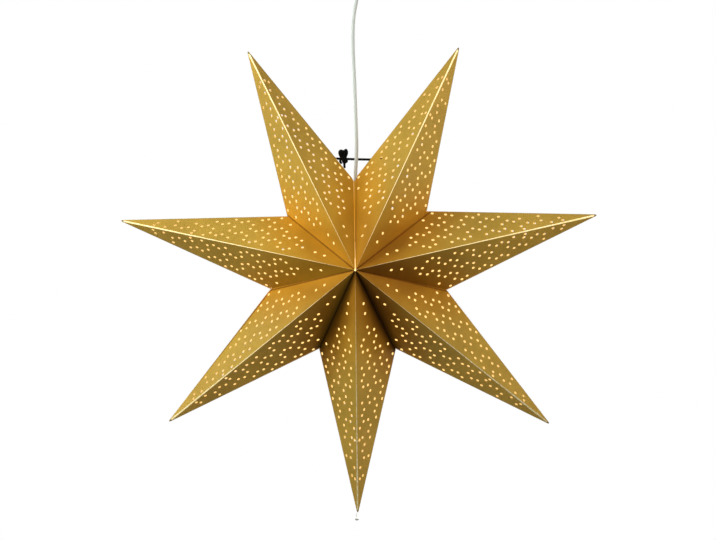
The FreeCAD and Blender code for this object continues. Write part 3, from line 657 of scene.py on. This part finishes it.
def holeRings(tree, given):
    repeats = addNode(tree, "GeometryNodeInputNamedAttribute", {"Name": "repeats"},
                      data_type="BOOLEAN").outputs["Attribute"]
    split = addNode(tree, "GeometryNodeSeparateGeometry", {"Geometry": given["Geometry"],
                                                           "Selection": repeats})
    groups = addNode(tree, "GeometryNodeInstanceOnPoints", {"Points": holeStations(tree, given),
                                                            "Instance": split.outputs["Selection"]})
    spots = addNode(tree, "GeometryNodeRealizeInstances", {0: groups.outputs[0]}).outputs[0]

    # the last step is a little longer than the pitch
    spot = addNode(tree, "GeometryNodeInputPosition").outputs[0]
    longer = addNode(tree, "ShaderNodeMapRange", {
        "Value": partsOf(tree, spot)["X"], "From Min": given["Stretch From"],
        "From Max": given["Stretch To"], "To Min": 0.0, "To Max": given["Stretch"]}).outputs[0]
    shift = addNode(tree, "ShaderNodeCombineXYZ", {"X": longer}).outputs[0]
    spots = addNode(tree, "GeometryNodeSetPosition", {"Geometry": spots, "Offset": shift}).outputs[0]
    kept = addNode(tree, "GeometryNodeDeleteGeometry", {"Geometry": spots,
                                                        "Selection": nearFold(tree, given, spot)})
    centres = addNode(tree, "GeometryNodeJoinGeometry")
    tree.links.new(kept.outputs[0], centres.inputs[0])
    tree.links.new(split.outputs["Inverted"], centres.inputs[0])
    ring = addNode(tree, "GeometryNodeCurvePrimitiveCircle", {
        "Resolution": punching["holeSides"], "Radius": given["Hole Radius"]}).outputs[0]
    cuts = addNode(tree, "GeometryNodeInstanceOnPoints", {"Points": centres.outputs[0], "Instance": ring})
    return addNode(tree, "GeometryNodeRealizeInstances", {0: cuts.outputs[0]}).outputs[0]


def glueFlap(tree, given):
    edge = addNode(tree, "GeometryNodeCurvePrimitiveQuadrilateral", {
        "Point 1": given["Flap Foot"], "Point 2": given["Flap Rim"], "Point 3": given["Flap Corner"],
        "Point 4": given["Flap Top"]}, mode="POINTS").outputs[0]
    filled = addNode(tree, "GeometryNodeFillCurve", {0: edge}, mode="NGONS").outputs[0]
    return addNode(tree, "GeometryNodeTransform", {
        "Geometry": filled, "Rotation": (math.radians(90), 0, halfTurn)}).outputs[0]


def markedFolds(tree, given, card):
    # ridge and silhouette folds are marked for rounding
    ends = addNode(tree, "GeometryNodeInputMeshEdgeVertices").outputs
    marks = []
    for key in ("Position 1", "Position 2"):
        parts = partsOf(tree, ends[key])
        marks.append([scalarMath(tree, "ABSOLUTE", parts[axis]) for axis in ("Y", "Z")])
    onRidge, onSide = (scalarMath(tree, "LESS_THAN", scalarMath(tree, "MAXIMUM", first, second),
                                  star["onFold"] * mm) for first, second in zip(*marks))
    weight = scalarMath(tree, "MAXIMUM", onRidge, product(tree, onSide, given["Side Fold"]))
    return addNode(tree, "GeometryNodeStoreNamedAttribute", {
        "Geometry": card, "Name": "bevel_weight_edge", "Value": weight},
        data_type="FLOAT", domain="EDGE").outputs[0]


def starPointTree():
    # four facets and the glue flaps that fold in from them
    tree, given = newTree("foldedPoint", facetInputs)
    rings = holeRings(tree, given)
    behind = addNode(tree, "GeometryNodeTransform", {"Geometry": rings, "Translation": given["Back Shift"]})
    sheets = []
    for cuts, face in ((rings, 1), (behind.outputs[0], -1)):
        for name, side in (("Left", 1), ("Right", -1)):
            facet = punchedFacet(tree, given, f"{name} Start", f"{name} Outer", f"{name} Inner", cuts)
            sheets.append((facet, side, face))
    flap = glueFlap(tree, given)
    sheets += [(flap, side, face) for side in (1, -1) for face in (1, -1)]
    card = addNode(tree, "GeometryNodeJoinGeometry")
    for geometry, side, face in sheets:
        tree.links.new(mirrored(tree, geometry, (1, side, face)), card.inputs[0])
    merged = addNode(tree, "GeometryNodeMergeByDistance", {"Geometry": card.outputs[0],
                                                           "Distance": star["mergeWithin"] * mm}).outputs[0]
    finishTree(tree, markedFolds(tree, given, merged), goldCard)
    return tree


def cornerSet(openSeam):
    # where a facet starts, and its two places at the valley, cut back for the cord beside an open seam
    if not openSeam:
        middle = (apex + valley) / 2
        return [flat(apex), flat(valley), flat(middle)]
    lean = math.cos(halfTurn) / halfWidth - math.sin(halfTurn) / star["tipRadius"]
    grow = 1 + star["seamSetback"] * lean
    inwards = Vector((math.sin(halfTurn), -math.cos(halfTurn), 0)) * star["seamSetback"] * mm
    rim, top = valley * grow + inwards, apex * grow + inwards
    start = flat(top)
    start = start + (flat(rim) - start) * (-start.y / (flat(rim).y - start.y))
    toTip, toApex = (tip - rim).normalized(), (top - rim).normalized()
    notch = star["cordNotch"] * mm
    return [start, flat(rim + toTip * notch), flat(rim + toApex * notch)]


def onRing(radius, steps):
    angle = 2 * halfTurn * steps
    return Vector((math.sin(angle), 0, math.cos(angle))) * radius * mm


def settled(mesh, number):
    # every facet stays flat while its tip and valley go where they hang in the photograph
    centre = Vector((0, 0, star["centreZ"] * mm))
    middle = onRing(1, number - 0.5)
    tipPlace = onRing(star["tipRadius"], number - 0.5)
    tipShift = fromPhoto(*photo["tips"][number - 1]) - centre - tipPlace
    for vertex in mesh.vertices:
        arm = vertex.co - centre
        clockwise = arm.x * middle.z - arm.z * middle.x > 0
        steps = number if clockwise else number - 1
        valleyPlace = onRing(star["valleyRadius"], steps)
        valleyShift = fromPhoto(*photo["valleys"][steps % star["points"]]) - centre - valleyPlace
        whole = tipPlace.x * valleyPlace.z - tipPlace.z * valleyPlace.x
        tipShare = (arm.x * valleyPlace.z - arm.z * valleyPlace.x) / whole
        valleyShare = (tipPlace.x * arm.z - tipPlace.z * arm.x) / whole
        vertex.co += tipShift * tipShare + valleyShift * valleyShare
        if steps % star["points"] == 0:
            bow = math.sin(math.pi * min(max(valleyShare, 0), 1))
            fade = max(0, 1 - abs(tipShare) * star["bowFade"])
            vertex.co.x += star["seamBow"] * bow * fade * mm


def treeValues(number):
    closed, opened = cornerSet(False), cornerSet(True)
    if number in (1, star["points"]):
        closed = [opened[0], closed[1], closed[0]]  # the ridge starts where the open side does
    left = opened if number == 1 else closed
    right = opened if number == star["points"] else closed
    slope = star["halfDepth"] / star["valleyRadius"]
    inner = star["valleyRadius"] - star["flapWidth"] / math.sin(math.atan(slope))
    near = star["flapStart"] + star["flapWidth"]
    step, row = punching["pitch"] * mm, punching["row"] * mm
    return {
        "Hole Radius": punching["holeRadius"] * mm, "Pitch": (step, 0, 0),
        "Row": (punching["rowShift"] * mm, row, 0), "Steps": punching["steps"], "Rows": punching["rows"],
        "First Station": punching["firstStation"] * mm,
        "First Corner": punching["firstCorner"] * mm, "Ridge Margin": punching["ridgeMargin"] * mm,
        "Valley Margin": punching["valleyMargin"] * mm, "Edge Margin": punching["edgeMargin"] * mm,
        "Stretch From": punching["stretchFrom"] * mm, "Stretch To": punching["stretchTo"] * mm,
        "Stretch": punching["stretch"] * mm, "Apex": (0, 0, 0), "Tip": flat(tip), "Valley": flat(valley),
        "Apex Place": apex, "Ridge Way": ridgeWay, "Across Way": acrossWay,
        "Back Shift": (punching["backShift"][number] * mm, 0, 0), "Side Fold": star["sideFold"],
        "Left Start": left[0], "Left Outer": left[1], "Left Inner": left[2],
        "Right Start": right[0], "Right Outer": right[1], "Right Inner": right[2],
        "Flap Foot": localPoint(star["flapStart"], slope * (star["valleyRadius"] - star["flapStart"]), 0),
        "Flap Rim": localPoint(star["valleyRadius"], 0, 0), "Flap Corner": localPoint(inner, 0, 0),
        "Flap Top": localPoint(near, slope * (inner - near), 0),
    }


def holeMarks():
    # centres of one group's holes, flagged as repeated, and of the single ones
    spots = [Vector((x - punching["stepsBefore"] * punching["pitch"], y, 0)) * mm
             for x, y in punching["group"]]
    spots += [Vector((x, y, 0)) * mm for x, y in punching["single"]]
    flags = [True] * len(punching["group"]) + [False] * len(punching["single"])
    return pointMesh("holes", spots, flags)


def turnedToPlace(mesh, number):
    turn = 2 * halfTurn * (number - 0.5)
    outwards = Vector((math.sin(turn), 0, math.cos(turn)))
    sideways = Vector((-math.cos(turn), 0, math.sin(turn)))
    place = Matrix((outwards, sideways, Vector((0, -1, 0)))).transposed().to_4x4()
    place.translation = Vector((0, 0, star["centreZ"] * mm))
    mesh.transform(place)


# outside, inside and rim of the card, and the same for its folds
cardLayers = (goldCard, cardInside, cutEdge)
foldLayers = (foldLine, cardInside, cutEdge)


def starPoint(number, tree):
    mesh = grown(f"foldedPoint{number}", holeMarks(), tree, treeValues(number))
    turnedToPlace(mesh, number)
    settled(mesh, number)
    mesh.materials.clear()
    for material in cardLayers + foldLayers:
        mesh.materials.append(material)
    point = newObject(f"folded_point_{number}", mesh)
    rounding = point.modifiers.new("fold", "BEVEL")
    rounding.limit_method = "WEIGHT"
    rounding.width = star["foldWidth"] * mm
    rounding.segments = 2
    rounding.material = len(cardLayers)
    rounding.use_clamp_overlap = False
    thickness = point.modifiers.new("card", "SOLIDIFY")
    thickness.thickness = star["card"] * mm
    thickness.offset = -1
    thickness.use_even_offset = True
    thickness.material_offset = cardLayers.index(cardInside)
    thickness.material_offset_rim = cardLayers.index(cutEdge)
    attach(point, "root")
    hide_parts(f"point_{number}")


pointTree = starPointTree()
for number in range(1, star["points"] + 1):
    starPoint(number, pointTree)
print("points ready")


# the cord, from the lampholder's insert up to the terminal block in the ceiling fitting

cord = {
    "diameter": 4.4,
    "roundSteps": 6,
    "curveSteps": 16,
    "route": [(0, -304.3), (-0.4, -280), (-2.2, -257), (-0.2, -228), (-0.7, -204), (-1.8, -172),
              (-2.9, -138), (-4.4, -112), (-5.0, -88), (-4.4, -66), (-2.2, -50), (0, -40), (0, -10.5)],
}


def lampCord():
    data = bpy.data.curves.new("lampCord", "CURVE")
    data.dimensions = "3D"
    data.bevel_depth = cord["diameter"] / 2 * mm
    data.bevel_resolution = cord["roundSteps"]
    data.resolution_u = cord["curveSteps"]
    data.use_fill_caps = True
    spline = data.splines.new("NURBS")
    spline.points.add(len(cord["route"]) - 1)
    for control, (x, z) in zip(spline.points, cord["route"]):
        control.co = (x * mm, 0, z * mm, 1)
    spline.order_u = 3
    spline.use_endpoint_u = True
    data.materials.append(cordSheath)
    item = newObject("lamp_cord_sheath", data)
    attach(item, "root")
    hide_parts("lamp_cord")
    return item


def measured(curve):
    # length of the cord's own line
    plain = curve.data.copy()
    plain.bevel_depth = 0
    holder = newObject("cordLine", plain)
    mesh = bpy.data.meshes.new_from_object(holder.evaluated_get(bpy.context.evaluated_depsgraph_get()))
    spots = [vertex.co.copy() for vertex in mesh.vertices]
    bpy.data.objects.remove(holder)
    bpy.data.meshes.remove(mesh)
    return sum((b - a).length for a, b in zip(spots, spots[1:]))


sheath = lampCord()
print("cord ready")


# the black tie string, of twisted plies, with its bow beside the cord

tie = {
    "leftLevel": -234.5,
    "rightLevel": -235.8,
    "sag": 0.4,
    "depth": 3.6,
    "reach": 30.7,
    "thickness": 3.1,
    "knot": (-16.8, 3.4, -234.7),
    "plies": 3,
    "plyDepth": 0.82,  # radius between two plies, as a share of the string's
    "twist": 900.0,  # radians in a metre
    "step": 0.35,
    "sides": 18,
    # stopper knot at each end: a few close turns
    "stopper": 5.2,
    "stopperSink": 0.1,
    "stopperPoints": 14,
    "stopperTurn": 70,
    "stopperDrift": 0.16,
}

# strands of the bow in millimetres from its knot: sideways, towards the front, up
bowStrands = {
    "leftLoop": [(-1.4, 0, 0), (-3.6, 0.4, 3.0), (-4.7, 0.9, 6.0), (-4.9, 0.7, 8.6), (-2.6, 0.2, 10.6),
                 (-1.8, -0.2, 8.6), (-2.2, -0.5, 4.6), (-0.6, -0.4, 0.4)],
    "middleLoop": [(0.2, 0.6, -0.8), (-2.6, 1.3, 3.4), (-3.2, 1.6, 7.4), (-0.8, 1.4, 10.2),
                   (1.4, 1.0, 7.4), (1.0, 0.9, 3.2), (0.2, 0.4, -0.6)],
    "rightLoop": [(-0.2, 0, -0.4), (1.4, -0.6, 3.0), (1.4, -0.8, 7.4), (2.7, -0.6, 12.2), (5.2, -0.1, 8.4),
                  (4.2, 0.4, 4.6), (2.0, 0.3, 0.4)],
    "innerLoop": [(0, -1.0, 0), (0.8, -1.6, 4.0), (-0.4, -1.8, 8.6), (2.4, -1.6, 8.2), (2.8, -1.4, 3.6),
                  (0.8, -1.0, 0)],
    "sideLoop": [(-2.6, -0.6, 0), (-3.8, -0.8, 5.2), (-1.0, -1.0, 8.2), (2.6, -0.8, 7.6), (3.4, -0.6, 4.2),
                 (2.4, -0.4, 0)],
    "lowerLoop": [(0, 0.4, 0.6), (3.6, 0.9, -0.2), (5.2, 0.7, -2.6), (2.8, 0.3, -5.4), (-0.8, -0.2, -4.4),
                  (-0.6, -0.4, -0.6)],
    "leftEnd": [(0.4, 0.5, 0.2), (-2.6, 0.8, -0.6), (-4.4, 0.6, -1.8), (-3.4, 0.3, -4.2), (-2.2, 0.1, -6.4)],
    "tail": [(0, 0.2, 0.5), (0.6, 0.5, -3.0), (1.4, 0.4, -6.4), (1.5, 0.2, -9.2), (1.5, 0, -11.6)],
    "wrap": [(-2.9, -1.0, 1.9), (-1.6, 1.7, 1.2), (1.4, 2.1, 0.5), (3.1, 0.2, 0.0), (1.4, -1.8, 0.1),
             (-1.8, -1.6, 0.9)],
    "secondWrap": [(-2.6, -0.9, -0.5), (-1.4, 1.8, -1.1), (1.6, 2.0, -1.7), (3.0, 0.1, -2.0),
                   (1.2, -1.7, -1.8), (-1.7, -1.5, -1.2)],
}

stringInputs = {"Radius": "Float", "Step": "Float", "Twist": "Float", "Ply Radius": "Float"}


def stringTree():
    tree, given = newTree("twistedString", stringInputs)
    evened = addNode(tree, "GeometryNodeResampleCurve", {"Curve": given["Geometry"], "Length": given["Step"]},
                     mode="LENGTH").outputs[0]
    along = addNode(tree, "GeometryNodeSplineParameter").outputs["Length"]
    tilted = addNode(tree, "GeometryNodeSetCurveTilt", {
        "Curve": evened, "Tilt": product(tree, along, given["Twist"])}).outputs[0]
    round_ = addNode(tree, "GeometryNodeCurvePrimitiveCircle", {
        "Resolution": tie["sides"], "Radius": given["Radius"]})
    spot = addNode(tree, "GeometryNodeInputPosition").outputs[0]
    parts = partsOf(tree, spot)
    angle = scalarMath(tree, "ARCTAN2", parts["Y"], parts["X"])
    lobes = scalarMath(tree, "ABSOLUTE", scalarMath(tree, "SINE", product(tree, angle, tie["plies"] / 2)))
    size = addNode(tree, "ShaderNodeMapRange", {"Value": lobes, "To Min": given["Ply Radius"],
                                                "To Max": 1.0}).outputs[0]
    profile = addNode(tree, "GeometryNodeSetPosition", {"Geometry": round_.outputs[0],
                                                        "Position": scaled(tree, spot, size)}).outputs[0]
    tube = addNode(tree, "GeometryNodeCurveToMesh", {"Curve": tilted, "Profile Curve": profile,
                                                     "Fill Caps": True}).outputs[0]
    smooth = addNode(tree, "GeometryNodeSetShadeSmooth", {"Geometry": tube}).outputs[0]
    finishTree(tree, smooth, blackString)
    return tree


def strandCurve(name, strands):
    data = bpy.data.curves.new(name, "CURVE")
    data.dimensions = "3D"
    data.resolution_u = 12
    for spots in strands:
        spline = data.splines.new("NURBS")
        spline.points.add(len(spots) - 1)
        for control, spot in zip(spline.points, spots):
            control.co = (*spot, 1)
        spline.order_u = min(4, len(spots))
        spline.use_endpoint_u = True
    return data


def twisted(name, strands, tree):
    values = {"Radius": tie["thickness"] / 2 * mm, "Step": tie["step"] * mm, "Twist": tie["twist"],
              "Ply Radius": tie["plyDepth"]}
    return grown(name, strandCurve(name, strands), tree, values)


def stopperKnot(side):
    radius = (tie["stopper"] - tie["thickness"]) / 2 - tie["stopperSink"]
    level = tie["leftLevel"] if side < 0 else tie["rightLevel"]
    loop = []
    for index in range(tie["stopperPoints"]):
        angle = index * math.radians(tie["stopperTurn"])
        drift = (index - tie["stopperPoints"] / 2) * tie["stopperDrift"]
        loop.append(Vector((side * (tie["reach"] + drift), tie["depth"] + radius * math.cos(angle),
                            level + radius * math.sin(angle))) * mm)
    return loop


def tieString():
    tree = stringTree()
    depth, reach, sag = tie["depth"], tie["reach"], tie["sag"]
    left, right = tie["leftLevel"], tie["rightLevel"]
    run = [Vector(spot) * mm for spot in ((-reach, depth, left), (-reach / 2, depth, left - sag),
                                          (reach / 3, depth, right - sag), (reach, depth, right))]
    knot = Vector(tie["knot"])
    strands = [[(knot + Vector((x, -y, z))) * mm for x, y, z in spots] for spots in bowStrands.values()]
    shape = bmesh.new()
    shape.from_mesh(twisted("tieRun", [run, stopperKnot(-1), stopperKnot(1)], tree))
    shape.from_mesh(twisted("bow", strands, tree))
    joined = bpy.data.meshes.new("tieString")
    shape.to_mesh(joined)
    shape.free()
    joined.materials.append(blackString)
    item = newObject("tie_string_and_bow", joined)
    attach(item, "root")
    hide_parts("tie_string")


tieString()
print("tie ready")


# pieces that keep the solid's shape get softened edges and a finish

softening = {
    "mergeWithin": 0.002,
    "flatWithin": 0.6,  # degrees between faces that become one
    "edgeFrom": 35,
    "smoothTo": 32,
}


def dressed(node, name, materials, rounding=0.25, pick=None):
    shape = bmesh.new()
    shape.from_mesh(nodes[node].data)
    bmesh.ops.remove_doubles(shape, verts=shape.verts, dist=softening["mergeWithin"] * mm)
    bmesh.ops.dissolve_limit(shape, angle_limit=math.radians(softening["flatWithin"]), verts=shape.verts,
                             edges=shape.edges)
    if rounding:
        sharp = [edge for edge in shape.edges
                 if edge.is_manifold and edge.calc_face_angle(0) > math.radians(softening["edgeFrom"])]
        bmesh.ops.bevel(shape, geom=sharp, offset=rounding * mm, segments=2, profile=0.5, affect="EDGES",
                        clamp_overlap=True)
    bmesh.ops.triangulate(shape, faces=[face for face in shape.faces if len(face.verts) > 4])
    for face in shape.faces:
        face.smooth = True
        face.material_index = pick(face.calc_center_median()) if pick else 0
    mesh = bpy.data.meshes.new(name)
    shape.to_mesh(mesh)
    shape.free()
    mesh.set_sharp_from_angle(angle=math.radians(softening["smoothTo"]))
    for material in materials:
        mesh.materials.append(material)
    item = newObject(name, mesh)
    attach(item, "root")
    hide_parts(node)
    return item


dressed("cord_grip", "grip_nut_on_cord", [whitePlastic])
dressed("lampholder_cap", "lampholder_cap_shell", [whitePlastic], 0.4)
dressed("lampholder_sleeve", "lampholder_sleeve_shell", [whitePlastic], 0.4)
dressed("contact_insert", "contact_insert_body", [insertPlastic])
dressed("screw_shell", "brass_screw_shell", [brassSheet], 0.1)
dressed("centre_contact", "brass_centre_contact", [brassSheet], 0.15)
dressed("bulb", "ball_lamp", [lampGlass, nickel], 0,
        lambda spot: 1 if spot.z > lamp["glassFoot"] else 0)
dressed("tip_bead", "end_bead", [nickel], 0.1)
cup = dressed("ceiling_cup", "ceiling_cup_shell", [whitePlastic], 0.5)
cupGrip = dressed("cup_grip", "cup_grip_shell", [whitePlastic])
gripNut = dressed("grip_nut", "grip_lock_nut", [steel], 0.15)
terminal = dressed("terminal_block", "terminal_block_body", [insertPlastic])
bridge = dressed("fixing_bridge", "fixing_bridge_strip", [steel], 0.15)
screws = dressed("cup_screws", "cup_screw_pair", [steel], 0.15)

measured(sheath)
print("holder, lamp and ceiling fitting ready")


# floor, background and light

studio = {
    "floorDrop": 1.25,
    "floorSize": 6.0,
    "floorTones": ((0.83, 0.83, 0.82), (0.88, 0.88, 0.87)),
    "ambient": 0.0,
    "lamps": {
        "keyLeft": {
            "place": (-0.78, -0.40, -0.01), "size": 0.5, "power": 6.3, "colour": (0.92, 1.0, 0.92)},
        "keyRight": {
            "place": (0.78, -0.40, -0.01), "size": 0.5, "power": 3.1, "colour": (0.96, 1.0, 0.94)},
        "topLeft": {
            "place": (-0.55, -0.40, 0.29), "size": 0.5, "power": 0.5, "colour": (0.93, 1.0, 1.0)},
        "top": {"place": (0.22, -0.40, 0.46), "size": 0.5, "power": 1.2, "colour": (1, 1, 1)},
        "farLeft": {
            "place": (-1.37, -0.64, 0.42), "size": 0.8, "power": 2.6, "colour": (0.93, 1.0, 1.0)},
        "farRight": {
            "place": (1.55, -0.64, -0.65), "size": 0.8, "power": 3.0, "colour": (1.0, 0.86, 0.64)},
        "behindLeft": {"place": (-1.2, 1.3, 0.1), "size": 0.9, "power": 14, "colour": (1, 1, 1)},
        "behindRight": {"place": (1.3, 1.2, -0.5), "size": 0.9, "power": 9, "colour": (1, 1, 1)},
    },
}


def whiteBehind(tree):
    # 1 for the rays that see the background straight, mirrored or through glass
    path = addNode(tree, "ShaderNodeLightPath").outputs
    seen = scalarMath(tree, "MAXIMUM", path["Is Camera Ray"], path["Is Glossy Ray"])
    return scalarMath(tree, "MAXIMUM", seen, path["Is Transmission Ray"])


def makeWorld():
    world = bpy.data.worlds.new("studio")
    scene.world = world
    world.use_nodes = True
    tree = world.node_tree
    background = tree.nodes["Background"]
    background.inputs["Color"].default_value = (1, 1, 1, 1)
    strength = mapped(tree, whiteBehind(tree), studio["ambient"], 1.0)
    tree.links.new(strength, background.inputs["Strength"])


def makeFloor():
    half = studio["floorSize"] / 2
    mesh = bpy.data.meshes.new("floor")
    height = -studio["floorDrop"]
    mesh.from_pydata([(-half, -half, height), (half, -half, height), (half, half, height),
                      (-half, half, height)], [], [(0, 1, 2, 3)])
    floor = newObject("floor", mesh)
    material, tree, shader, place = startMaterial("paleFloor", (0.86, 0.86, 0.85), 0.9)
    tone = noise(tree, place, scale=3)
    tree.links.new(blended(tree, tone, *studio["floorTones"]), shader.inputs["Base Color"])
    mesh.materials.append(material)


def makeLamps():
    target = Vector((0, 0, star["centreZ"] * mm))
    for name, lampData in studio["lamps"].items():
        data = bpy.data.lights.new(name, "AREA")
        data.shape = "DISK"
        data.size = lampData["size"]
        data.energy = lampData["power"]
        data.color = lampData["colour"]
        item = newObject(name, data)
        item.location = lampData["place"]
        item.rotation_euler = (target - item.location).to_track_quat("-Z", "Y").to_euler()


makeWorld()
makeFloor()
makeLamps()
scene.view_settings.view_transform = "Standard"
print("studio ready")
